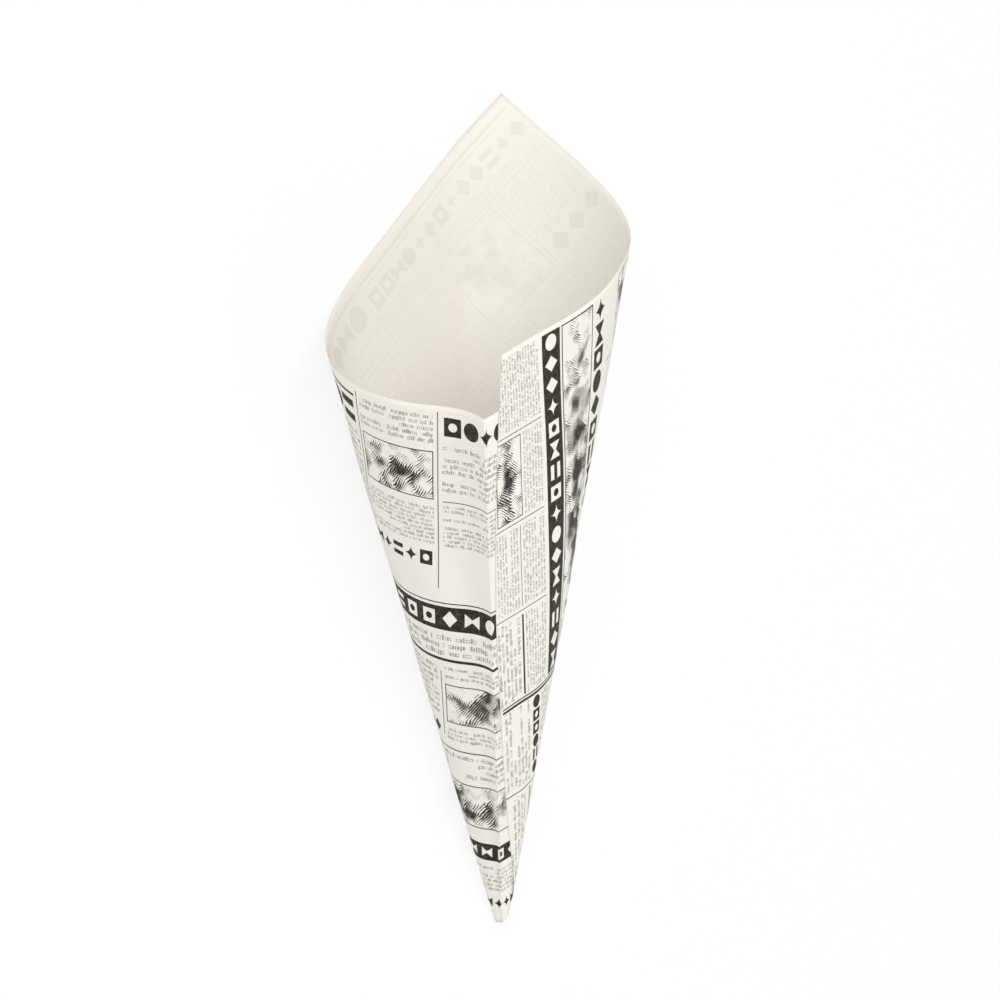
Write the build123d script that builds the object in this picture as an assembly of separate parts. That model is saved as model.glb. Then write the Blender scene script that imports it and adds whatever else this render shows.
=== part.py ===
from build123d import *
from math import atan2, ceil, cos, degrees, hypot, radians, sin, sqrt, tan
import os

# A greaseproof paper cone, wrapped from one rectangular sheet and glued along a lap at the front.
# The sheet is described flat by rays from one point, the apex, where its creases would meet if they were
# carried on past the tip. A ray is named by its paper angle, in degrees from the seam edge, and the sheet is
# wrapped so that every ray stays straight. Between two rays the paper is flat or bends at an even rate,
# so each panel is flat or a patch of a right circular cone.

# The cut sheet, in millimetres
sheet_width = 220.0  # along the seam edge
sheet_height = 182.0  # across it
paper = 0.1  # thickness of the sheet
lap_gap = 0.1  # between the flap and the lap under it
apex_above_seam = 10.1  # how far the apex lies inside the seam edge's line
apex_from_lap_edge = 9.3  # how far it lies inside the lap edge's line
seam_bow = 7.5  # how far the middle of the seam edge pulls in towards the front crease
corner_trim = 1.0  # paper angle clipped off the lap's corner inside the tip

# Where the wrap bends, as paper angles
flap_lead_angle = 0.27  # the part of the flap that reaches over the front crease's own ray
flap_flat_angle = 11.95
flap_curve_angle = 26.2
back_crease_angle = 45.9
back_flat_angle = 57.5
front_hollow_angle = 5.86  # width of the hollow stretch beside the front crease
front_crease_angle = 89.46

# How hard it bends there: turn of the wall for each unit of paper angle
flap_bend = 2.12
right_bend = 6.18  # starting value, refined so that the wrap closes
left_bend = 4.80  # starting value, refined so that the wrap closes
front_bend = -9.42  # hollow, beside the tight front crease
back_fold = 11.3  # degrees that the back crease turns

face_turn = 6.0  # degrees that the wall turns across one of its curved faces, at most
rays_per_face = 5
centre = Vector(0, 0, 0)


class Ray:
    """One straight line of the wrapped sheet: along it, across it in the paper, and into the cone."""

    def __init__(self, along, across):
        self.along = along
        self.across = across
        self.inward = along.cross(across)

    def carried(self, angle, bend):
        """The ray that lies angle further round, where the paper bends at an even rate."""
        pole = Axis(centre, self.along * bend + self.inward)
        turn = angle * sqrt(1 + bend * bend)
        return Ray(self.along.rotate(pole, turn), self.across.rotate(pole, turn))

    def folded(self, fold):
        return Ray(self.along, self.across.rotate(Axis(centre, self.along), fold))


class Panel:
    """A stretch of the sheet between two rays, with one rate of bend."""

    def __init__(self, start, end, bend, first):
        self.start = start
        self.end = end
        self.bend = bend
        self.first = first
        self.last = first.carried(end - start, bend)
        self.slides = {}  # by depth, how far the first and last rays move in the wall to meet a crease

    def ray(self, angle):
        return self.first.carried(angle - self.start, self.bend)

    def place(self, angle, reach, depth):
        """The point of the wall on one ray, so far from the apex and so deep under the outer face."""
        ray, part = self.ray(angle), (angle - self.start) / (self.end - self.start)
        at_first, at_last = self.slides.get(depth, (0, 0))
        slide = at_first * (1 - part) ** 2 + at_last * part**2
        return ray.along * reach + ray.inward * depth + ray.across * slide


def wrapped(right, left):
    """The panels once round, from the front crease by way of the flap back to the front crease."""
    stations = [
        (flap_flat_angle, 0.0, 0.0),
        (flap_curve_angle, flap_bend, 0.0),
        (back_crease_angle, right, back_fold),
        (back_flat_angle, 0.0, 0.0),
        (front_crease_angle - front_hollow_angle, left, 0.0),
        (front_crease_angle, front_bend, 0.0),
    ]
    start, ray, panels = flap_lead_angle, Ray(Vector(0, 1, 0), Vector(1, 0, 0)), []
    for end, bend, fold in stations:
        panels.append(Panel(start, end, bend, ray))
        start, ray = end, panels[-1].last.folded(fold)
    return panels


def closed_wrap():
    """The panels with the right and left bends refined until the last ray meets the first (Newton)."""

    def miss(right, left):
        panels = wrapped(right, left)
        gap = panels[-1].last.along - panels[0].first.along
        return gap.X, gap.Z

    right, left, step = right_bend, left_bend, 1e-5
    for _ in range(12):
        x, z = miss(right, left)
        x_right, z_right = [(moved - now) / step for moved, now in zip(miss(right + step, left), (x, z))]
        x_left, z_left = [(moved - now) / step for moved, now in zip(miss(right, left + step), (x, z))]
        spread = x_right * z_left - x_left * z_right
        right -= (x * z_left - z * x_left) / spread
        left -= (z * x_right - x * z_right) / spread
    return wrapped(right, left)


panels = closed_wrap()
flap, flap_curve, right_panel, back_panel, left_panel, front_panel = panels
wrap_angle = front_crease_angle - flap_lead_angle  # once round, from the flap back to the flap
far_edge = sheet_width - apex_from_lap_edge  # from the apex to the far side edge
top_edge = sheet_height + apex_above_seam  # from the apex to the top edge
peak_angle = degrees(atan2(top_edge, far_edge))
bow_rate = 4 * seam_bow / far_edge


def seam_height(reach):
    """How far the seam edge lies above the apex's own line, at a reach along it: a shallow parabola."""
    return apex_above_seam - bow_rate * reach * (1 - reach / far_edge)


def seam_radius(angle):
    """Where a ray leaves the apex and crosses the seam edge: the nearer root of a quadratic."""
    square = bow_rate / far_edge * cos(radians(angle)) ** 2
    linear = -bow_rate * cos(radians(angle)) - sin(radians(angle))
    return 2 * apex_above_seam / (-linear + sqrt(linear * linear - 4 * square * apex_above_seam))


def far_radius(angle):
    return far_edge / cos(radians(angle))


def top_radius(angle):
    return top_edge / sin(radians(angle))


def lap_radius(angle):
    return -apex_from_lap_edge / cos(radians(angle))


def mitre(ray, other, depth, other_depth):
    """The offset from a crease that lies at one depth under its first panel and another under the second."""
    lean = ray.inward.dot(other.inward)
    share = (depth - lean * other_depth) / (1 - lean * lean)
    other_share = (other_depth - lean * depth) / (1 - lean * lean)
    return ray.inward * share + other.inward * other_share


def strip(panel, start, end, far, depths, turn=0.0):
    """The outer, inner and edge faces of a stretch of sheet between two rays of one panel.

    It runs from the seam edge to the radii that far gives, and turn is added to its angles to find them on
    the flat sheet. A flat stretch has one face on each side, and a bent one has one for every few degrees.
    """
    count = max(1, ceil(abs(panel.bend) * (end - start) / face_turn))
    stations, faces = [start + (end - start) * step / count for step in range(count + 1)], []
    for first, last in zip(stations, stations[1:]):
        angles = [first + (last - first) * step / (rays_per_face - 1) for step in range(rays_per_face)]
        edges = []
        for depth in depths:
            for radius in (seam_radius, far):
                points = [panel.place(angle, radius(angle + turn), depth) for angle in angles]
                straight = panel.bend == 0 and radius is not seam_radius
                edges.append(Edge.make_line(points[0], points[-1]) if straight else Edge.make_spline(points))
        outer_near, outer_far, inner_near, inner_far = edges
        if panel.bend == 0:
            faces += [plate([outer_near, outer_far]), plate([inner_near, inner_far])]
        else:
            faces += [ruled(outer_near, outer_far), ruled(inner_near, inner_far)]
        faces += [ruled(outer_near, inner_near), ruled(outer_far, inner_far)]
    return faces


def ruled(one, two):
    return Face.make_surface_from_curves(one, two)


def plate(edges):
    """A flat face between two edges that run the same way."""
    one, two = edges
    return Face(Wire([one, Edge.make_line(one @ 1, two @ 1), two, Edge.make_line(two @ 0, one @ 0)]))


def flat_plate(outer_edges, inner_edges):
    """Two flat faces and the edge faces between them; the last edge of each lies inside the sheet."""
    sides = [ruled(one, two) for one, two in zip(outer_edges[:-1], inner_edges[:-1])]
    return [Face(Wire(outer_edges)), Face(Wire(inner_edges))] + sides


def flap_edges(depth):
    """Round the flat part of the flap: the bowed seam edge, the far side edge and the last ray."""

    def place(reach, height):
        angle, radius = degrees(atan2(height, reach)), hypot(reach, height)
        return flap.ray(angle).along * radius + flap.first.inward * depth

    low = seam_radius(flap_flat_angle) * cos(radians(flap_flat_angle))
    low_height, corner_height = seam_height(low), seam_height(far_edge)
    slope = bow_rate * (2 * low / far_edge - 1)
    middle = (low + far_edge) / 2
    tip_end, corner = place(low, low_height), place(far_edge, corner_height)
    rim_end = place(far_edge, far_edge * tan(radians(flap_flat_angle)))
    seam = Edge.make_bezier(tip_end, place(middle, low_height + slope * (middle - low)), corner)
    return [seam, Edge.make_line(corner, rim_end), Edge.make_line(rim_end, tip_end)]


def lap_edges(depth, crease):
    """Round the flat part of the lap: front crease, top edge, lap edge, last ray and seam edge."""
    last = flap_flat_angle + wrap_angle
    places = [
        (front_crease_angle, top_radius(front_crease_angle)),
        (90 + degrees(atan2(apex_from_lap_edge, top_edge)), hypot(apex_from_lap_edge, top_edge)),
        (last, lap_radius(last)),
        (last, seam_radius(last)),
        (front_crease_angle, seam_radius(front_crease_angle)),
    ]
    points = [flap.place(angle - wrap_angle, radius, depth) for angle, radius in places]
    points[0] = flap.first.along * places[0][1] + crease
    points[-1] = flap.first.along * places[-1][1] + crease
    lines = [Edge.make_line(points[i], points[(i + 1) % 5]) for i in (0, 1, 3, 2)]
    return lines, Edge.make_line(points[4], points[0])


def make_cone():
    wall = (0.0, paper)
    lap = (paper + lap_gap, 2 * paper + lap_gap)
    faces = flat_plate(flap_edges(wall[0]), flap_edges(wall[1]))

    # Slides that bring the wall to its two creases
    before_back, after_back = right_panel.last, back_panel.first
    back = [mitre(before_back, after_back, depth, depth) for depth in wall]
    front = [mitre(front_panel.last, flap.first, depth, under) for depth, under in zip(wall, lap)]
    for depth, back_offset, front_offset in zip(wall, back, front):
        right_panel.slides[depth] = (0, back_offset.dot(before_back.across))
        back_panel.slides[depth] = (back_offset.dot(after_back.across), 0)
        front_panel.slides[depth] = (0, front_offset.dot(front_panel.last.across))
    for panel in panels[1:]:
        cuts = [panel.start, panel.end]
        if panel.start < peak_angle < panel.end:
            cuts.insert(1, peak_angle)
        for start, end in zip(cuts, cuts[1:]):
            faces += strip(panel, start, end, far_radius if end <= peak_angle else top_radius, wall)

    # The lap under the flap, first flat and then following its bends down to the corner inside the tip
    outer_lines, outer_crease = lap_edges(lap[0], front[0])
    inner_lines, inner_crease = lap_edges(lap[1], front[1])
    for lines, crease in ((outer_lines, outer_crease), (inner_lines, inner_crease)):
        faces.append(Face(Wire([crease] + lines)))
    faces += [ruled(one, two) for one, two in list(zip(outer_lines, inner_lines))[:3]]
    corner = 90 + degrees(atan2(apex_from_lap_edge, seam_height(-apex_from_lap_edge)))
    lap_end = corner - corner_trim - wrap_angle
    for panel in panels[1:]:
        if panel.start < lap_end:
            end = min(panel.end, lap_end)
            faces += strip(panel, panel.start, end, lap_radius, lap, turn=wrap_angle)
            last = panel
    radii = seam_radius(lap_end + wrap_angle), lap_radius(lap_end + wrap_angle)
    ends = [Edge.make_line(*[last.place(lap_end, radius, depth) for radius in radii]) for depth in lap]
    faces.append(ruled(*ends))
    return Solid(Shell(faces))


def laid_down(cone):
    """Laid on its flat back panel, mouth towards +Y, with the origin under the middle of its box."""
    floor = back_panel.first
    heart = cone.center(CenterOf.MASS)
    forward = heart - floor.inward * heart.dot(floor.inward)
    rest = Plane(origin=centre, x_dir=forward.cross(floor.inward), z_dir=floor.inward)
    lying = rest.to_local_coords(cone)
    box = lying.bounding_box()
    return Pos(-box.center().X, -box.center().Y, -box.min.Z) * lying


paper_cone = laid_down(make_cone())
os.makedirs("parts", exist_ok=True)
export_step(paper_cone, "parts/paper_cone.step")
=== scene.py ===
import bmesh
import bpy
import math
import numpy as np
from mathutils import Matrix, Vector


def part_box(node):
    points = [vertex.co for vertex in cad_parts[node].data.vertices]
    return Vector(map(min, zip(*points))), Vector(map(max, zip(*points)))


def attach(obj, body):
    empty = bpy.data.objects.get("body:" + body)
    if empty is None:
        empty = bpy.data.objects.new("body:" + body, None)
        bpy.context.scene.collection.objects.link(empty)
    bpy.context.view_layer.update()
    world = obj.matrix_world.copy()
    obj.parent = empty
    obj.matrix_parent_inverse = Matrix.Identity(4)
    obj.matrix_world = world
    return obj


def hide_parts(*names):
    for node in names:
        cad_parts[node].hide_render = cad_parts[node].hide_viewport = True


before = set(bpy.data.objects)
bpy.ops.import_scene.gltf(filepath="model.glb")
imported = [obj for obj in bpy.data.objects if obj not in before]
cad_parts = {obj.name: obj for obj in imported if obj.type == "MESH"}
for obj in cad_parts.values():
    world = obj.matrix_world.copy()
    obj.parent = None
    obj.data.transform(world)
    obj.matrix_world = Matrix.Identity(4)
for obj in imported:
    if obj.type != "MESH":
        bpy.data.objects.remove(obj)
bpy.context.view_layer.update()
mm = 0.001

# The sheet and its wrap: the same sizes as in the part's source, lengths in mm and paper angles in degrees
sheet = {
    "farEdge": 210.7,  # from the apex to the far side edge
    "topEdge": 192.1,  # from the apex to the top edge
    "lapEdge": 9.3,  # from the apex to the lap edge, on the other side
    "seamGap": 10.1,  # the apex lies this far inside the seam edge's line
    "seamBow": 7.5,
    "cornerTrim": 1.0,
    "paper": 0.1,
    "lapGap": 0.1,
    "flapLead": 0.27,
    "flapFlat": 11.95,
    "flapCurve": 26.2,
    "backCrease": 45.9,
    "backFlat": 57.5,
    "hollow": 5.86,
    "frontCrease": 89.46,
    "flapBend": 2.12,
    "rightBend": 6.17,  # starting value, refined
    "leftBend": 4.80,  # starting value, refined
    "hollowBend": -9.42,
    "frontTurn": 116.7,  # starting value, refined
    "backTurn": 11.3,
    "frontCreaseWidth": 0.45,  # paper angle that a crease takes up
    "backCreaseWidth": 0.9,
    "ease": 0.8,  # paper angle over which one bend eases into the next
    "step": 0.05,
}
meshGrid = {
    "rows": 96, "rowCrowding": 1.1,  # rows are closer together near the seam edge
    "flapColumns": 34, "flapCrowding": 0.8, "lapColumns": 22, "lapCrowding": 1.6,
    "bodyStep": 0.55, "creaseGap": 0.3, "backCreaseColumns": 7, "frontCreaseColumns": 13,
    "lapStartColumns": 6,
}
bakeMap = {"corner": (-13.0, -4.0), "size": (227.0, 200.0), "edgeSpread": 1.01, "outsideFoot": 0.0,
           "outsideHeight": 0.76, "insideFoot": 0.77, "insideHeight": 0.23}
waves = {"height": 0.35, "turns": (3, 5, 8), "shares": (0.5, 0.32, 0.18), "lengths": (95.0, 61.0, 38.0),
         "roundTurn": 6.28, "phase": 1.7, "fadeIn": 3, "beforeFloor": 2, "afterFloor": 3, "fullRadius": 120}


# The wrap
def turnMatrix(bend, angle):
    # Rotation by angle about (bend, 0, 1) in a ray's own frame of along, across and inward (Rodrigues)
    length = math.hypot(bend, 1)
    x, z = bend / length, 1 / length
    c, s = math.cos(angle * length), math.sin(angle * length)
    return np.array([[c + x * x * (1 - c), -z * s, x * z * (1 - c)],
                     [z * s, c, -x * s],
                     [x * z * (1 - c), x * s, c + z * z * (1 - c)]])


def bendAlong(angles, rightBend, leftBend, frontTurn):
    # Bend for each paper angle: steps from panel to panel, eased by a moving bell, plus a bump at each crease
    ends = [sheet["flapFlat"], sheet["flapCurve"], sheet["backCrease"], sheet["backFlat"],
            sheet["frontCrease"] - sheet["hollow"]]
    bends = np.array([0.0, sheet["flapBend"], rightBend, 0.0, leftBend, sheet["hollowBend"]])
    reach = int(3 * sheet["ease"] / sheet["step"])
    bell = np.exp(-0.5 * (np.arange(-reach, reach + 1) * sheet["step"] / sheet["ease"]) ** 2)
    steps = np.pad(bends[np.searchsorted(ends, angles)], reach, mode="edge")
    eased = np.convolve(steps, bell / bell.sum(), mode="valid")
    for middle, width, turn in ((sheet["backCrease"], sheet["backCreaseWidth"], sheet["backTurn"]),
                                (sheet["frontCrease"] - sheet["frontCreaseWidth"] / 2,
                                 sheet["frontCreaseWidth"], frontTurn)):
        fold = np.clip(1 - ((angles - middle) / (width / 2)) ** 2, 0, None) ** 1.5
        eased += turn * fold / (fold.sum() * sheet["step"])
    return eased


def wrapFrames(rightBend, leftBend, frontTurn):
    # Frames once round: each is the one before, turned by its small step of paper angle
    count = int(round((sheet["frontCrease"] - sheet["flapLead"]) / sheet["step"]))
    edges = np.linspace(sheet["flapLead"], sheet["frontCrease"], count + 1)
    middles = (edges[1:] + edges[:-1]) / 2
    frames = [np.array([[0.0, 1, 0], [1, 0, 0], [0, 0, -1]])]  # columns: along, across, inward
    for bend, step in zip(bendAlong(middles, rightBend, leftBend, frontTurn), np.radians(np.diff(edges))):
        frames.append(frames[-1] @ turnMatrix(bend, step))
    return edges, np.array(frames)


def closedWrap():
    # Newton on the two bends and the front crease's turn, until the last frame meets the first
    values = np.array([sheet["rightBend"], sheet["leftBend"], sheet["frontTurn"]])

    def miss(tried):
        frames = wrapFrames(*tried)[1]
        gap = frames[0].T @ frames[-1]
        return np.array([gap[2, 1] - gap[1, 2], gap[0, 2] - gap[2, 0], gap[1, 0] - gap[0, 1]]) / 2

    for _ in range(8):
        now, slopes = miss(values), np.zeros((3, 3))
        for i, step in enumerate((1e-4, 1e-4, 1e-3)):
            moved = values.copy()
            moved[i] += step
            slopes[:, i] = (miss(moved) - now) / step
        values = values - np.linalg.solve(slopes, now)
    print("wrap closes with right bend %.3f, left bend %.3f, front crease %.1f" % tuple(values))
    return wrapFrames(*values)


wrapAngles, wrapTurns = closedWrap()
onceRound = sheet["frontCrease"] - sheet["flapLead"]


def raysAt(angles):
    # Along and inward at any paper angle; past the front crease the lap follows the flap once more
    under = np.where(angles > sheet["frontCrease"], angles - onceRound, angles)
    found = []
    for column in (0, 2):
        vectors = np.stack([np.interp(under, wrapAngles, wrapTurns[:, row, column]) for row in range(3)], -1)
        found.append(vectors / np.linalg.norm(vectors, axis=-1, keepdims=True))
    return found


def seamHeight(reach):
    # The seam edge is a shallow parabola, bowed towards the front crease
    return sheet["seamGap"] - 4 * sheet["seamBow"] / sheet["farEdge"] * reach * (1 - reach / sheet["farEdge"])


def seamRadius(angles):
    # Nearer root of the quadratic where a ray crosses that parabola
    c, s = np.cos(np.radians(angles)), np.sin(np.radians(angles))
    rate = 4 * sheet["seamBow"] / sheet["farEdge"]
    square, linear = rate / sheet["farEdge"] * c * c, -rate * c - s
    return 2 * sheet["seamGap"] / (-linear + np.sqrt(linear * linear - 4 * square * sheet["seamGap"]))


def rimRadius(angles):
    # A ray ends at the far side edge, the top edge or the lap edge, whichever it meets first
    c, s = np.cos(np.radians(angles)), np.sin(np.radians(angles))
    sides = np.where(c > 0, sheet["farEdge"] / np.maximum(c, 1e-9), sheet["lapEdge"] / np.maximum(-c, 1e-9))
    return np.minimum(sides, sheet["topEdge"] / s)


def sheetGrid():
    # Flat places (reach, height) on a grid: rays from seam edge to rim, and over the flap's flat part a blend
    # from its last ray down to the seam edge
    rows = np.linspace(0, 1, meshGrid["rows"] + 1) ** meshGrid["rowCrowding"]
    lapCorner = 90 + math.degrees(math.atan2(sheet["lapEdge"], seamHeight(-sheet["lapEdge"])))
    front, back = sheet["frontCrease"], sheet["backCrease"]
    peak = math.degrees(math.atan2(sheet["topEdge"], sheet["farEdge"]))
    widths = sheet["frontCreaseWidth"], sheet["backCreaseWidth"]
    lapTop = 90 + math.degrees(math.atan2(sheet["lapEdge"], sheet["topEdge"]))
    lapHeights = np.linspace(0, 1, meshGrid["lapColumns"] + 1) ** meshGrid["lapCrowding"]
    lapHeights = sheet["topEdge"] + (seamHeight(-sheet["lapEdge"]) - sheet["topEdge"]) * lapHeights
    pieces = [
        np.arange(sheet["flapFlat"], back - widths[1], meshGrid["bodyStep"]),
        np.linspace(back - widths[1] / 2, back + widths[1] / 2, meshGrid["backCreaseColumns"]),
        np.arange(back + widths[1], front - widths[0] - meshGrid["creaseGap"], meshGrid["bodyStep"]),
        np.linspace(front - widths[0], front, meshGrid["frontCreaseColumns"]),
        np.linspace(front + meshGrid["creaseGap"], lapTop, meshGrid["lapStartColumns"]),
        90 + np.degrees(np.arctan2(sheet["lapEdge"], lapHeights[1:])),
    ]
    angles = np.unique(np.concatenate(pieces + [[peak]]))
    angles = angles[angles <= lapCorner - sheet["cornerTrim"]]
    near, far = seamRadius(angles), rimRadius(angles)
    radii = near[:, None] + rows[None] * (far - near)[:, None]
    c, s = np.cos(np.radians(angles))[:, None], np.sin(np.radians(angles))[:, None]
    body = np.stack([radii * c, radii * s], -1)
    seamReach = body[0, 0, 0] + rows * (sheet["farEdge"] - body[0, 0, 0])
    seam = np.stack([seamReach, seamHeight(seamReach)], -1)
    shares = np.linspace(0, 1, meshGrid["flapColumns"] + 1)[:-1, None, None] ** meshGrid["flapCrowding"]
    return np.concatenate([seam[None] * (1 - shares) + body[0][None] * shares, body])


def wavesAt(angles, radii):
    # Gentle waves in the paper, alike in flap and lap, dying out on the panel that lies on the floor
    way = np.radians(360 * (angles - sheet["flapLead"]) / onceRound)
    height = sum(share * np.sin(turns * way + waves["roundTurn"] * radii / length + waves["phase"] * turns)
                 for turns, share, length in zip(waves["turns"], waves["shares"], waves["lengths"]))
    low, high = sheet["backCrease"] - waves["beforeFloor"], sheet["backFlat"] + waves["afterFloor"]
    since, until = (angles - low) / waves["fadeIn"], (high - angles) / waves["fadeIn"]
    onFloor = np.clip(since, 0, 1) * np.clip(until, 0, 1)
    return waves["height"] * height * (1 - onFloor) * np.clip(radii / waves["fullRadius"], 0, 1)


def wrapped(flat, depth):
    # Sheet places in the wrapped cone: reach along the ray, then depth inwards; the lap goes under the flap
    angles = np.degrees(np.arctan2(flat[..., 1], flat[..., 0]))
    radii = np.hypot(flat[..., 0], flat[..., 1])
    along, inward = raysAt(angles)
    width = sheet["frontCreaseWidth"]
    under = np.clip((angles - sheet["frontCrease"] + width) / width, 0, 1)
    lift = depth + under * (sheet["paper"] + sheet["lapGap"]) + wavesAt(angles, radii)
    return along * radii[..., None] + inward * lift[..., None]


def layDown(points):
    # The back panel's inward side is up, the mouth points to +Y, and the box is the CAD node's box
    up = raysAt(np.array([(sheet["backCrease"] + sheet["backFlat"]) / 2]))[1][0]
    quads = points[:-1, :-1], points[1:, :-1], points[1:, 1:], points[:-1, 1:]
    areas = np.linalg.norm(np.cross(quads[2] - quads[0], quads[3] - quads[1]), axis=-1)
    heart = (sum(quads) / 4 * areas[..., None]).sum((0, 1)) / areas.sum()
    forward = heart - up * (heart @ up)
    forward /= np.linalg.norm(forward)
    return np.stack([np.cross(forward, up), forward, up], 1)


def bakePlace(place, inside, onEdge):
    # The sheet laid flat in the bake's map: its outside large, its inside squeezed above it, edges just round
    middle = np.array([sheet["farEdge"] - sheet["lapEdge"], sheet["topEdge"]]) / 2
    spread = np.where(onEdge[:, None], middle + (place - middle) * bakeMap["edgeSpread"], place)
    share = (spread - bakeMap["corner"]) / bakeMap["size"]
    foot = np.where(inside & ~onEdge, bakeMap["insideFoot"], bakeMap["outsideFoot"])
    height = np.where(inside & ~onEdge, bakeMap["insideHeight"], bakeMap["outsideHeight"])
    return np.stack([share[:, 0], foot + share[:, 1] * height], 1).astype(np.float32)


def closeUp(mesh):
    # Merges the points that meet where the flap's columns start, and turns every face outwards
    work = bmesh.new()
    work.from_mesh(mesh)
    bmesh.ops.remove_doubles(work, verts=work.verts, dist=1e-6)
    bmesh.ops.recalc_face_normals(work, faces=work.faces)
    print("open edges: %d, volume: %.0f mm3" % (sum(not e.is_manifold for e in work.edges),
                                                work.calc_volume(signed=True) / mm ** 3))
    work.to_mesh(mesh)
    work.free()


def makeCone():
    flat = sheetGrid()
    outer, inner = wrapped(flat, 0.0), wrapped(flat, sheet["paper"])
    turned = layDown(outer)
    outer, inner = outer @ turned * mm, inner @ turned * mm
    low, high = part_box("paper_cone")
    both = np.concatenate([outer, inner]).reshape(-1, 3)
    shift = np.array([(low.x + high.x) / 2, (low.y + high.y) / 2, low.z])
    shift -= np.append((both.min(0) + both.max(0))[:2] / 2, both[:, 2].min())
    outer, inner = outer + shift, inner + shift
    columns, rows = flat.shape[:2]
    index = np.arange(columns * rows).reshape(columns, rows)

    def quads(grid):
        return np.stack([grid[:-1, :-1], grid[:-1, 1:], grid[1:, 1:], grid[1:, :-1]], -1).reshape(-1, 4)

    ring = np.concatenate([index[:, 0], index[-1, 1:], index[-2::-1, -1], index[0, -2:0:-1]])
    onward, deeper = np.roll(ring, -1), columns * rows
    edge = np.stack([ring, onward, onward + deeper, ring + deeper], -1)
    outside = quads(index)
    faces = np.concatenate([outside, quads(index)[:, ::-1] + deeper, edge])
    slots = np.repeat([0, 1, 2], [len(outside), len(outside), len(edge)])
    mesh = bpy.data.meshes.new("paperCone")
    places = np.concatenate([outer.reshape(-1, 3), inner.reshape(-1, 3)])
    mesh.from_pydata(places.tolist(), [], faces.tolist())
    mesh.polygons.foreach_set("material_index", slots.astype(np.int32))
    mesh.polygons.foreach_set("use_smooth", slots < 2)
    corners = np.zeros(len(mesh.loops), np.int32)
    mesh.loops.foreach_get("vertex_index", corners)
    place, inside = flat.reshape(-1, 2)[corners % deeper], corners >= deeper
    mesh.uv_layers.new(name="sheetPlace").uv.foreach_set("vector", (place * mm).astype(np.float32).ravel())
    onEdge = np.repeat(slots == 2, 4) & inside
    mesh.uv_layers.new(name="OFBake").uv.foreach_set("vector", bakePlace(place, inside, onEdge).ravel())
    closeUp(mesh)
    mesh.update()
    cone = bpy.data.objects.new("paperConeSheet", mesh)
    bpy.context.scene.collection.objects.link(cone)
    return cone


cone = makeCone()
print("cone mesh made: %d faces" % len(cone.data.polygons))


# Node helpers
def valueSocket(tree, kind, name, default=0.0, out=False):
    socket = tree.interface.new_socket(name=name, in_out="OUTPUT" if out else "INPUT", socket_type=kind)
    if not out and kind == "NodeSocketFloat":
        socket.default_value = default
    return socket


def newGroup(name, inputs, outputs):
    tree = bpy.data.node_groups.new(name, "ShaderNodeTree")
    for label, default in inputs:
        valueSocket(tree, "NodeSocketFloat", label, default)
    for label in outputs:
        valueSocket(tree, "NodeSocketFloat", label, out=True)
    return tree, tree.nodes.new("NodeGroupInput").outputs, tree.nodes.new("NodeGroupOutput").inputs


def join(tree, given, socket):
    if isinstance(given, bpy.types.NodeSocket):
        tree.links.new(given, socket)
    elif given is not None:
        socket.default_value = given


def calc(tree, operation, first, second=None, third=None):
    node = tree.nodes.new("ShaderNodeMath")
    node.operation = operation
    for given, socket in zip((first, second, third), node.inputs):
        join(tree, given, socket)
    return node.outputs[0]


def pair(tree, x, y, z=0.0):
    node = tree.nodes.new("ShaderNodeCombineXYZ")
    for given, socket in zip((x, y, z), node.inputs):
        join(tree, given, socket)
    return node.outputs[0]


def noiseAt(tree, place, scale, detail=0.0, rough=0.5):
    node = tree.nodes.new("ShaderNodeTexNoise")
    node.noise_dimensions = "2D"
    join(tree, place, node.inputs["Vector"])
    node.inputs["Scale"].default_value = scale
    node.inputs["Detail"].default_value = detail
    node.inputs["Roughness"].default_value = rough
    return node.outputs["Fac"]


def speckAt(tree, x, y, seed=0.0):
    node = tree.nodes.new("ShaderNodeTexWhiteNoise")
    node.noise_dimensions = "3D"
    join(tree, pair(tree, x, y, seed), node.inputs["Vector"])
    return node.outputs["Value"]


def useGroup(tree, group, **given):
    node = tree.nodes.new("ShaderNodeGroup")
    node.node_tree = group
    for name, what in given.items():
        join(tree, what, node.inputs[name])
    return node.outputs


def union(tree, masks):
    # Larger of all the masks, joined two by two
    while len(masks) > 1:
        masks = [calc(tree, "MAXIMUM", masks[i], masks[i + 1]) if i + 1 < len(masks) else masks[i]
                 for i in range(0, len(masks), 2)]
    return masks[0]


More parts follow.
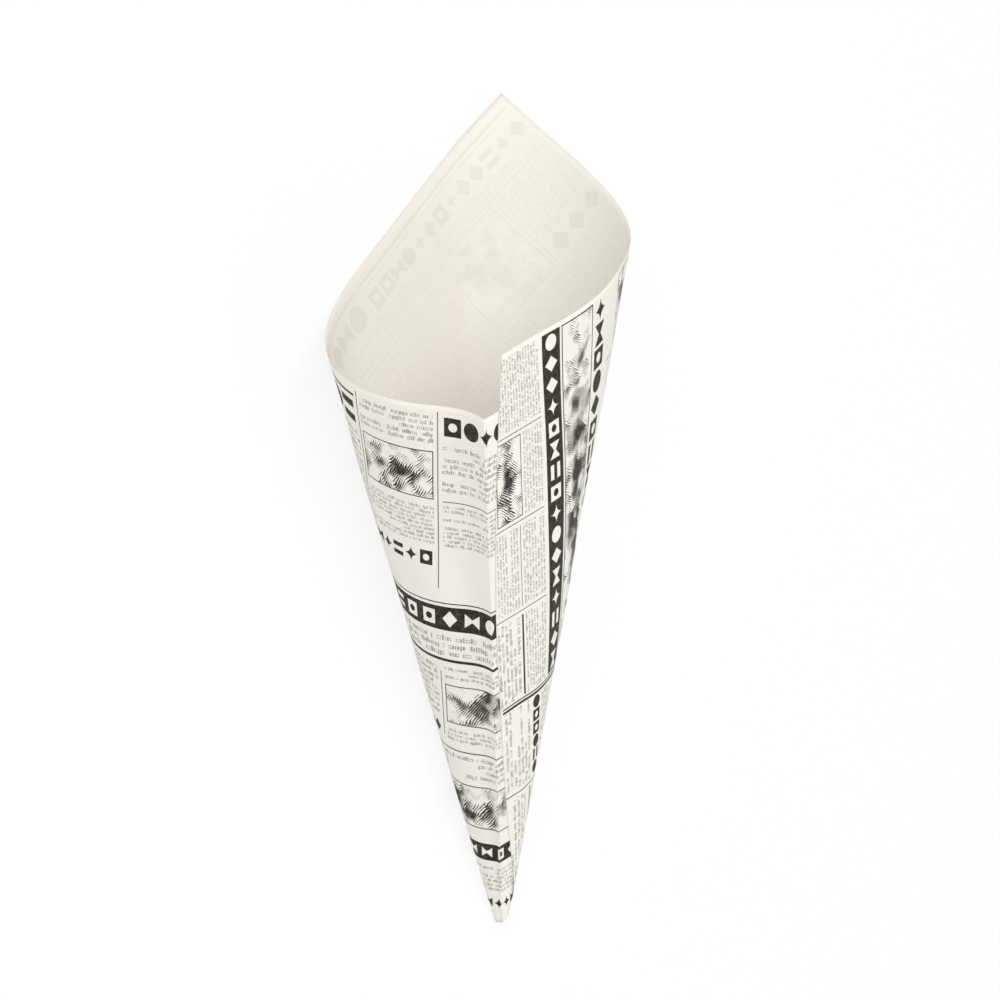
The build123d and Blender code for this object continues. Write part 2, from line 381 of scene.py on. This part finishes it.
# Greeked newsprint, on the flat sheet in mm
newsPage = {"left": -10.5, "column": 32.0, "margin": 1.5, "edge": 208.9}
newsBlocks = [
    # First column, columns wide, top, then what is stacked below: text as lines and pitch, motif rows and
    # dark bands as height and the cell's share of it, hatched vignettes and rules as height and line, gaps
    # as height
    (0, 1, 189, [("row", 8, 0.9), ("gap", 2.5), ("text", 8, 2.1), ("gap", 2.0), ("rule", 2.2, 0.3),
                 ("text", 10, 1.5)]),
    (1, 1, 189, [("text", 5, 2.1), ("gap", 2.5), ("hatch", 17, 0.35), ("gap", 2.5), ("text", 9, 1.5),
                 ("gap", 2.0), ("row", 6, 0.9)]),
    (0, 2, 124, [("rule", 2.4, 0.4), ("band", 8.5, 0.9), ("gap", 1.5), ("text", 3, 2.7), ("rule", 2.4, 1.0)]),
    (0, 1, 100, [("text", 3, 1.5), ("gap", 2.0), ("hatch", 14, 0.35), ("gap", 2.0), ("text", 3, 1.5)]),
    (1, 1, 100, [("text", 9, 2.1), ("gap", 2.5), ("row", 5, 0.9)]),
    (0, 2, 71, [("rule", 2.4, 0.4), ("text", 4, 2.1), ("gap", 2.0), ("hatch", 15, 0.35)]),
    (0, 1, 38, [("band", 6.0, 0.9), ("gap", 2.0), ("text", 6, 1.5), ("gap", 2.0), ("row", 4.4, 0.9)]),
    (3, 4, 72, [("row", 9.5, 0.9), ("gap", 1.0), ("hatch", 19, 0.5), ("gap", 1.0), ("band", 9.5, 0.8)]),
    (6, 1, 30, [("text", 18, 1.5)]),
    (5, 1, 30, [("text", 7, 1.5), ("gap", 1.0), ("hatch", 13.5, 0.35)]),
    (4, 1, 30, [("text", 8, 1.5), ("rule", 2.2, 0.3), ("text", 8, 1.5)]),
    (3, 1, 30, [("text", 8, 1.5), ("rule", 2.6, 0.9), ("text", 6, 2.1)]),
    (2, 1, 38, [("rule", 2.0, 0.3), ("text", 6, 1.5), ("gap", 1.0), ("row", 5.5, 0.95), ("gap", 1.0),
                ("text", 7, 2.1)]),
    (1, 1, 28, [("text", 5, 1.5), ("rule", 2.2, 0.8), ("text", 6, 2.1)]),
    (2, 2, 189, [("rule", 2.4, 0.9), ("row", 11, 0.9), ("gap", 1.5), ("text", 3, 2.7), ("rule", 2.4, 0.3)]),
    (2, 1, 163, [("text", 18, 1.5), ("gap", 1.0), ("hatch", 21, 0.35), ("gap", 2.0), ("text", 10, 2.1),
                 ("rule", 2.4, 0.3), ("row", 6, 0.95), ("gap", 1.0), ("text", 14, 1.5)]),
    (3, 1, 163, [("text", 12, 2.1), ("rule", 2.4, 0.9), ("row", 8, 0.9), ("gap", 1.0), ("text", 19, 1.5),
                 ("gap", 1.0), ("hatch", 20, 0.35)]),
    (4, 3, 189, [("rule", 2.4, 0.9), ("rule", 1.6, 0.3), ("gap", 1.0), ("row", 7.5, 0.95), ("gap", 1.2),
                 ("text", 2, 2.1), ("rule", 2.0, 0.3)]),
    (4, 1, 169, [("text", 24, 1.5), ("rule", 2.4, 0.3), ("text", 16, 1.5), ("row", 6, 0.9),
                 ("text", 17, 1.5)]),
    (5, 1, 169, [("hatch", 30, 0.35), ("gap", 2.0), ("text", 12, 2.1), ("rule", 2.4, 0.8),
                 ("text", 20, 1.5)]),
    (6, 1, 169, [("text", 10, 2.1), ("row", 9, 0.9), ("text", 22, 1.5), ("rule", 2.4, 0.3),
                 ("hatch", 18, 0.35)]),
]
newsGutters = [  # x, low, top, width
    (21.5, 128, 190, 0.3), (21.5, 74, 98, 0.3), (53.5, 41, 190, 0.4), (53.5, 2, 34, 0.4),
    (84.9, 4, 162, 0.9), (86.1, 4, 162, 0.5), (117.5, 2, 30, 0.3), (117.5, 76, 188, 0.3),
    (149.5, 2, 30, 0.3), (149.5, 76, 168, 0.3), (181.5, 2, 30, 0.3), (181.5, 76, 168, 0.3),
    (21.5, 3, 36, 0.3)]
newsInk = {
    "colour": (0.020, 0.016, 0.011, 1), "text": 0.58,  # text is greyer than the rest
    "rowSize": 0.46, "bandSize": 0.34,  # a motif's half size as a share of its row's or band's height
    "weakest": 0.95, "patchScale": 0.5, "patchLow": 0.30, "patchHigh": 0.55,
}


def laidOut():
    # Every thing on the page as left, right, low, top and its last number, stacked down from its block's top
    found = {kind: [] for kind in ("text", "row", "band", "hatch", "rule")}
    for column, wide, top, things in newsBlocks:
        left = newsPage["left"] + newsPage["column"] * column + newsPage["margin"]
        right = min(left + newsPage["column"] * wide - 2 * newsPage["margin"], newsPage["edge"])
        for kind, height, *detail in things:
            low = top - height * (detail[0] if kind == "text" else 1)
            if kind == "rule":
                middle = (low + top) / 2
                found[kind].append((left, right, middle - detail[0] / 2, middle + detail[0] / 2, 0))
            elif kind != "gap":
                found[kind].append((left, right, low, top, detail[0]))
            top = low
    found["rule"] += [(x - width / 2, x + width / 2, low, top, 0) for x, low, top, width in newsGutters]
    return found


def inBox(tree, x, y, left, right, low, top):
    # 1 inside a box of the sheet and 0 outside
    across = calc(tree, "COMPARE", x, (left + right) / 2, (right - left) / 2)
    return calc(tree, "MULTIPLY", across, calc(tree, "COMPARE", y, (low + top) / 2, (top - low) / 2))


def chosen(tree, masks, values):
    # Each place's own value: values times the masks of their boxes, added up
    total = 0.0
    for mask, value in zip(masks, values):
        total = calc(tree, "MULTIPLY_ADD", mask, value, total)
    return total


greek = {
    "strokes": 3.0, "rowShift": 97.0,  # strokes in one pitch, and how far chance moves a row's strokes
    "head": 0.70, "tallAbove": 0.78, "tallHead": 0.20, "foot": 0.22, "deepBelow": 0.10, "deepFoot": -0.17,
    "thin": 0.26, "thicker": 0.20, "secondChance": 53.7,
    "openMiddle": 0.46, "openHalf": 0.09, "openAbout": 0.45, "openWithin": 0.17,
    "wordGaps": ((0.29, 0.15), (0.173, 0.08)),  # gaps in one pitch, and the share of the way they take
    "shortBelow": 0.15, "shortSpread": 3.0, "shortest": 0.3,
}


def makeGreek():
    # Greeked lines: rows one pitch apart, each a run of upright strokes of chance width and height, some of
    # them open in the middle, with two lattices of word gaps, and some rows cut short. None is a letter.
    tree, given, put = newGroup("greekedLines", [("x", 0.0), ("y", 0.0), ("pitch", 2.0), ("column", 0.0),
                                                 ("seed", 0.0)], ["mask"])
    rowPlace = calc(tree, "DIVIDE", given["y"], given["pitch"])
    row = calc(tree, "FLOOR", rowPlace)
    part = calc(tree, "SUBTRACT", rowPlace, row)
    rowChance = speckAt(tree, row, given["seed"], 3.0)
    along = calc(tree, "MULTIPLY_ADD", rowChance, greek["rowShift"],
                 calc(tree, "DIVIDE", given["x"], given["pitch"]))
    strokePlace = calc(tree, "MULTIPLY", along, greek["strokes"])
    stroke = calc(tree, "FLOOR", strokePlace)
    aside = calc(tree, "ABSOLUTE", calc(tree, "SUBTRACT", calc(tree, "SUBTRACT", strokePlace, stroke), 0.5))
    chance = speckAt(tree, stroke, row, given["seed"])
    other = calc(tree, "FRACT", calc(tree, "MULTIPLY", chance, greek["secondChance"]))
    isTall = calc(tree, "GREATER_THAN", chance, greek["tallAbove"])
    head = calc(tree, "MULTIPLY_ADD", isTall, greek["tallHead"], greek["head"])
    isDeep = calc(tree, "LESS_THAN", chance, greek["deepBelow"])
    foot = calc(tree, "MULTIPLY_ADD", isDeep, greek["deepFoot"], greek["foot"])
    tall = calc(tree, "MULTIPLY", calc(tree, "LESS_THAN", part, head), calc(tree, "GREATER_THAN", part, foot))
    wide = calc(tree, "LESS_THAN", aside, calc(tree, "MULTIPLY_ADD", other, greek["thicker"], greek["thin"]))
    hollow = calc(tree, "MULTIPLY", calc(tree, "COMPARE", part, greek["openMiddle"], greek["openHalf"]),
                  calc(tree, "COMPARE", chance, greek["openAbout"], greek["openWithin"]))
    bar = calc(tree, "MULTIPLY", calc(tree, "MULTIPLY", tall, wide), calc(tree, "SUBTRACT", 1.0, hollow))
    gaps = [calc(tree, "GREATER_THAN", calc(tree, "FRACT", calc(tree, "MULTIPLY", along, rate)), share)
            for rate, share in greek["wordGaps"]]
    rowEnd = calc(tree, "MULTIPLY_ADD", rowChance, greek["shortSpread"], greek["shortest"])
    cut = calc(tree, "MULTIPLY", calc(tree, "LESS_THAN", rowChance, greek["shortBelow"]),
               calc(tree, "GREATER_THAN", given["column"], rowEnd))
    kept = calc(tree, "MULTIPLY", calc(tree, "MULTIPLY", *gaps), calc(tree, "SUBTRACT", 1.0, cut))
    join(tree, calc(tree, "MULTIPLY", bar, kept), put["mask"])
    return tree


def makeMotifs():
    # A row of bold plain shapes, one to a cell, picked by chance: disc, diamond, four-pointed star, bow, pair
    # of level bars or a block with a round hole. Each is a distance that is below 0 inside the shape.
    tree, given, put = newGroup("motifRow", [("x", 0.0), ("y", 0.0), ("cell", 8.0), ("size", 3.5),
                                             ("seed", 0.0)], ["mask"])
    place = calc(tree, "DIVIDE", given["x"], given["cell"])
    which = calc(tree, "FLOOR", place)
    size, y = given["size"], given["y"]
    fromMiddle = calc(tree, "SUBTRACT", calc(tree, "SUBTRACT", place, which), 0.5)
    x = calc(tree, "MULTIPLY", fromMiddle, given["cell"])
    ax, ay = calc(tree, "ABSOLUTE", x), calc(tree, "ABSOLUTE", y)

    def past(along, share):
        # How far a distance is past a share of the shape's size
        return calc(tree, "MULTIPLY_ADD", size, -share, along)

    def both(first, second):
        return calc(tree, "MAXIMUM", first, second)

    away = calc(tree, "SQRT", calc(tree, "MULTIPLY_ADD", x, x, calc(tree, "MULTIPLY", y, y)))
    disc = past(away, 0.88)
    diamond = past(calc(tree, "MULTIPLY_ADD", ax, 1.15, ay), 1.0)
    bend = calc(tree, "SQRT", calc(tree, "MULTIPLY", ax, ay))
    star = past(calc(tree, "MULTIPLY_ADD", bend, 1.6, calc(tree, "ADD", ax, ay)), 1.05)
    bow = both(past(ax, 0.90), past(calc(tree, "MULTIPLY_ADD", ax, -0.75, ay), 0.16))
    level = calc(tree, "ABSOLUTE", past(ay, 0.55))
    bars = both(past(ax, 0.84), past(level, 0.28))
    holed = both(both(past(ax, 0.82), past(ay, 0.90)), calc(tree, "MULTIPLY", past(away, 0.42), -1.0))
    chance, shape = speckAt(tree, which, given["seed"], 2.0), diamond
    for limit, other in ((0.80, disc), (0.64, star), (0.50, bow), (0.34, bars), (0.20, holed)):
        pick = calc(tree, "LESS_THAN", chance, limit)
        shape = calc(tree, "MULTIPLY_ADD", pick, calc(tree, "SUBTRACT", other, shape), shape)
    join(tree, calc(tree, "LESS_THAN", shape, 0.0), put["mask"])
    return tree


hatching = {
    "pitch": 0.95, "tone": 0.95, "waverScale": 0.16, "patches": 2.6, "fade": 0.85, "waver": 5.0,
    "lines": ((0.8, 0.0), (-1.6, 0.42)),  # slope, and how much darker it has to be for them to show
}


def makeHatch():
    # An engraver's vignette: wavering slanted lines, crossed where it is dark, that thin out from its middle
    inputs = [("x", 0.0), ("y", 0.0), ("middleX", 0.0), ("middleY", 0.0), ("halfX", 10.0), ("halfY", 10.0),
              ("pitch", hatching["pitch"]), ("tone", hatching["tone"])]
    tree, given, put = newGroup("hatchedTone", inputs, ["mask"])
    x, y = given["x"], given["y"]
    offsets = [calc(tree, "SUBTRACT", x, given["middleX"]), calc(tree, "SUBTRACT", y, given["middleY"])]
    u, v = [calc(tree, "DIVIDE", offset, given[half]) for offset, half in zip(offsets, ("halfX", "halfY"))]
    away = calc(tree, "SQRT", calc(tree, "MULTIPLY_ADD", u, u, calc(tree, "MULTIPLY", v, v)))
    waver = noiseAt(tree, pair(tree, x, y), hatching["waverScale"], 2.0, 0.55)
    aboutNought = calc(tree, "SUBTRACT", waver, 0.5)
    patchy = calc(tree, "MULTIPLY_ADD", aboutNought, hatching["patches"], given["tone"])
    tone = calc(tree, "SUBTRACT", patchy, calc(tree, "MULTIPLY", away, hatching["fade"]))
    lines = []
    for slope, less in hatching["lines"]:
        slanted = calc(tree, "MULTIPLY_ADD", y, slope, x)
        wave = calc(tree, "MULTIPLY_ADD", waver, hatching["waver"], slanted)
        part = calc(tree, "FRACT", calc(tree, "DIVIDE", wave, given["pitch"]))
        lines.append(calc(tree, "LESS_THAN", part, calc(tree, "SUBTRACT", tone, less)))
    join(tree, calc(tree, "MAXIMUM", *lines), put["mask"])
    return tree


def makeNewsprint():
    # All the printed ink on the flat sheet, 0 to 1, thinned a little here and there as dry ink is
    tree, given, put = newGroup("newsprint", [("x", 0.0), ("y", 0.0)], ["ink"])
    x, y, page = given["x"], given["y"], laidOut()
    masks = {kind: [inBox(tree, x, y, *sides) for *sides, _ in boxes] for kind, boxes in page.items()}
    fromLeft = calc(tree, "SUBTRACT", x, newsPage["left"])
    column = calc(tree, "FRACT", calc(tree, "DIVIDE", fromLeft, newsPage["column"]))

    def each(kinds, found):
        # A value of every box of these kinds, at its own place
        given = [(box, mask) for kind in kinds for box, mask in zip(page[kind], masks[kind])]
        return chosen(tree, [mask for _, mask in given], [found(*box) for box, _ in given])

    def anywhere(*kinds):
        return each(kinds, lambda *box: 1.0)

    low = each(["text"], lambda left, right, low, top, pitch: low)
    lines = useGroup(tree, makeGreek(), x=x, y=calc(tree, "SUBTRACT", y, low), column=column, seed=low,
                     pitch=each(["text"], lambda left, right, low, top, pitch: pitch))["mask"]
    inks = [calc(tree, "MULTIPLY", lines, each(["text"], lambda *box: newsInk["text"]))]

    def cellWidth(left, right, low, top, share):
        return (right - left) / round((right - left) / ((top - low) * share))

    rows = ["row", "band"]
    start = each(rows, lambda left, *others: left)
    middle = each(rows, lambda left, right, low, top, share: (low + top) / 2)
    heights = [each([kind], lambda left, right, low, top, share: newsInk[kind + "Size"] * (top - low))
               for kind in rows]
    shapes = useGroup(tree, makeMotifs(), x=calc(tree, "SUBTRACT", x, start),
                      y=calc(tree, "SUBTRACT", y, middle), cell=each(rows, cellWidth),
                      size=calc(tree, "ADD", *heights), seed=middle)["mask"]
    turned = calc(tree, "ABSOLUTE", calc(tree, "SUBTRACT", anywhere("band"), shapes))  # bare in a dark band
    inks.append(calc(tree, "MULTIPLY", turned, anywhere("row", "band")))

    tones = useGroup(tree, makeHatch(), x=x, y=y,
                     middleX=each(["hatch"], lambda left, right, low, top, line: (left + right) / 2),
                     middleY=each(["hatch"], lambda left, right, low, top, line: (low + top) / 2),
                     halfX=each(["hatch"], lambda left, right, low, top, line: (right - left) / 2),
                     halfY=each(["hatch"], lambda left, right, low, top, line: (top - low) / 2))["mask"]
    inks.append(calc(tree, "MULTIPLY", tones, anywhere("hatch")))
    for (left, right, low, top, line), mask in zip(page["hatch"], masks["hatch"]):
        inner = inBox(tree, x, y, left + line, right - line, low + line, top - line)
        inks.append(calc(tree, "SUBTRACT", mask, inner))
    ink = union(tree, inks + masks["rule"])
    weak = tree.nodes.new("ShaderNodeMapRange")
    join(tree, noiseAt(tree, pair(tree, x, y), newsInk["patchScale"], 4.0, 0.7), weak.inputs["Value"])
    for name, value in (("From Min", newsInk["patchLow"]), ("From Max", newsInk["patchHigh"]),
                        ("To Min", newsInk["weakest"]), ("To Max", 1.0)):
        weak.inputs[name].default_value = value
    join(tree, calc(tree, "MULTIPLY", ink, weak.outputs["Result"]), put["ink"])
    return tree


# The inside is the same paper as the outside, but its colour is set darker: painted shade of the cone's
# inside.
sheetPaper = {
    # The edge's colour is darker still: painted shade along the paper's cut edge.
    "outside": (0.863, 0.842, 0.776, 1), "inside": (0.810, 0.782, 0.716, 1), "edge": (0.78, 0.75, 0.68, 1),
    "clouds": 0.035, "cloudScale": 0.09, "fibres": 0.03, "fibreScale": 2.4, "showThrough": 0.08,
    "fibreSlant": 0.45, "cloudHeight": 1.5, "rough": 0.66, "shine": 0.26, "bump": 0.06, "bumpDepth": 0.0002,
}


def makeFibre():
    # Greaseproof paper's look-through: soft clouds and short fibres, about 1, and a height for the bump
    tree, given, put = newGroup("paperFibre", [("x", 0.0), ("y", 0.0)], ["shade", "height"])
    place = pair(tree, given["x"], given["y"])
    clouds = noiseAt(tree, place, sheetPaper["cloudScale"], 4.0, 0.6)
    slant = pair(tree, calc(tree, "MULTIPLY", given["x"], sheetPaper["fibreSlant"]), given["y"])
    fibres = noiseAt(tree, slant, sheetPaper["fibreScale"], 2.0, 0.7)
    parts = [calc(tree, "MULTIPLY", calc(tree, "SUBTRACT", what, 0.5), sheetPaper[size])
             for what, size in ((clouds, "clouds"), (fibres, "fibres"))]
    join(tree, calc(tree, "ADD", calc(tree, "ADD", *parts), 1.0), put["shade"])
    cloudy = calc(tree, "MULTIPLY", clouds, sheetPaper["cloudHeight"])
    join(tree, calc(tree, "ADD", fibres, cloudy), put["height"])
    return tree


def mixColour(tree, share, first, second, way="MIX"):
    node = tree.nodes.new("ShaderNodeMix")
    node.data_type, node.blend_type = "RGBA", way
    join(tree, share, node.inputs["Factor"])
    for given, socket in zip((first, second), (node.inputs[6], node.inputs[7])):
        join(tree, given, socket)
    return node.outputs[2]


def makePaper(name, colour, news, fibre, inkShare):
    # Paper with its print: on the outside in full, inside as the faint show-through of the same sheet
    material = bpy.data.materials.new(name)
    material.use_nodes = True
    tree = material.node_tree
    surface = tree.nodes["Principled BSDF"]
    onSheet = tree.nodes.new("ShaderNodeUVMap")
    onSheet.uv_map = "sheetPlace"
    split = tree.nodes.new("ShaderNodeSeparateXYZ")
    tree.links.new(onSheet.outputs["UV"], split.inputs[0])
    x, y = [calc(tree, "MULTIPLY", split.outputs[i], 1 / mm) for i in (0, 1)]
    grain = useGroup(tree, fibre, x=x, y=y)
    shade = pair(tree, grain["shade"], grain["shade"], grain["shade"])
    base = mixColour(tree, 1.0, colour, shade, "MULTIPLY")
    if inkShare:
        ink = calc(tree, "MULTIPLY", useGroup(tree, news, x=x, y=y)["ink"], inkShare)
        base = mixColour(tree, ink, base, newsInk["colour"])
    tree.links.new(base, surface.inputs["Base Color"])
    surface.inputs["Roughness"].default_value = sheetPaper["rough"]
    surface.inputs["Specular IOR Level"].default_value = sheetPaper["shine"]
    bump = tree.nodes.new("ShaderNodeBump")
    bump.inputs["Strength"].default_value = sheetPaper["bump"]
    bump.inputs["Distance"].default_value = sheetPaper["bumpDepth"]
    tree.links.new(grain["height"], bump.inputs["Height"])
    tree.links.new(bump.outputs["Normal"], surface.inputs["Normal"])
    return material


news, fibre = makeNewsprint(), makeFibre()
# The inside's and the edge's materials take painted shade in their colours.
for name, side, inkShare in (("newsprintOutside", "outside", 1.0), 
                             ("paperInsidePaintedShade", "inside", sheetPaper["showThrough"]), ("paperEdgePaintedShade", "edge", 0)):
    cone.data.materials.append(makePaper(name, sheetPaper[side], news, fibre, inkShare))
print("materials made, newsprint group has %d nodes" % len(news.nodes))
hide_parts("paper_cone")
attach(cone, "root")


# Floor, light and camera
view = {"right": (0.74723, -0.13863, 0.64994), "up": (0.07860, 0.98957, 0.12071),
        "aim": (0.0115, 0.0011, 0.0171), "wide": 0.3283, "distance": 3.0, "sensor": 36, "far": 50}
studio = {"halfFloor": 6, "floor": (0.90, 0.90, 0.90, 1), "floorRough": 0.9, "floorGlow": 0.86,
          "world": 0.565, "lightAim": (0, 0, 0.03)}
lights = {  # place, size, power
    "keyLight": ((-0.1, 0.5, 1.5), 0.9, 7.5),
    "sideLight": ((-0.9, 0.5, 1.2), 0.9, 7),
    "fillLight": ((0.6, -0.8, 1.4), 1.2, 5.5),
}


def makeFloor():
    # Seen by the camera it glows most of the way to white, and it still takes a little of the shadow
    mesh, half = bpy.data.meshes.new("floor"), studio["halfFloor"]
    corners = [(-half, -half, 0), (half, -half, 0), (half, half, 0), (-half, half, 0)]
    mesh.from_pydata(corners, [], [(0, 1, 2, 3)])
    floor = bpy.data.objects.new("studioFloor", mesh)
    bpy.context.scene.collection.objects.link(floor)
    material = bpy.data.materials.new("studioWhite")
    material.use_nodes = True
    tree = material.node_tree
    surface = tree.nodes["Principled BSDF"]
    surface.inputs["Base Color"].default_value = studio["floor"]
    surface.inputs["Roughness"].default_value = studio["floorRough"]
    glow = tree.nodes.new("ShaderNodeEmission")
    glow.inputs["Strength"].default_value = 1.0
    seen = tree.nodes.new("ShaderNodeLightPath")
    rays = union(tree, [seen.outputs["Is %s Ray" % kind] for kind in ("Camera", "Glossy", "Transmission")])
    mix = tree.nodes.new("ShaderNodeMixShader")
    join(tree, calc(tree, "MULTIPLY", rays, studio["floorGlow"]), mix.inputs[0])
    tree.links.new(surface.outputs[0], mix.inputs[1])
    tree.links.new(glow.outputs[0], mix.inputs[2])
    tree.links.new(mix.outputs[0], tree.nodes["Material Output"].inputs["Surface"])
    mesh.materials.append(material)


def makeLight(name, place, size, power):
    lamp = bpy.data.lights.new(name, "AREA")
    lamp.shape, lamp.size, lamp.energy = "DISK", size, power
    light = bpy.data.objects.new(name, lamp)
    light.location = place
    light.rotation_euler = (Vector(studio["lightAim"]) - Vector(place)).to_track_quat("-Z", "Y").to_euler()
    bpy.context.scene.collection.objects.link(light)


def makeCamera():
    right, up, aim = Vector(view["right"]), Vector(view["up"]), Vector(view["aim"])
    toward = right.cross(up).normalized()
    camera = bpy.data.objects.new("camera", bpy.data.cameras.new("camera"))
    camera.data.sensor_width = view["sensor"]
    camera.data.lens = view["sensor"] * view["distance"] / view["wide"]
    camera.data.clip_end = view["far"]
    camera.matrix_world = Matrix.Translation(aim + toward * view["distance"]) @ Matrix(
        (right.normalized(), up.normalized(), toward)).transposed().to_4x4()
    bpy.context.scene.collection.objects.link(camera)
    bpy.context.scene.camera = camera


makeFloor()
for name, (place, size, power) in lights.items():
    makeLight(name, place, size, power)
world = bpy.data.worlds.new("studio")
bpy.context.scene.world = world
world.use_nodes = True
world.node_tree.nodes["Background"].inputs["Color"].default_value = (1, 1, 1, 1)
world.node_tree.nodes["Background"].inputs["Strength"].default_value = studio["world"]
makeCamera()
bpy.context.scene.view_settings.view_transform = "Standard"
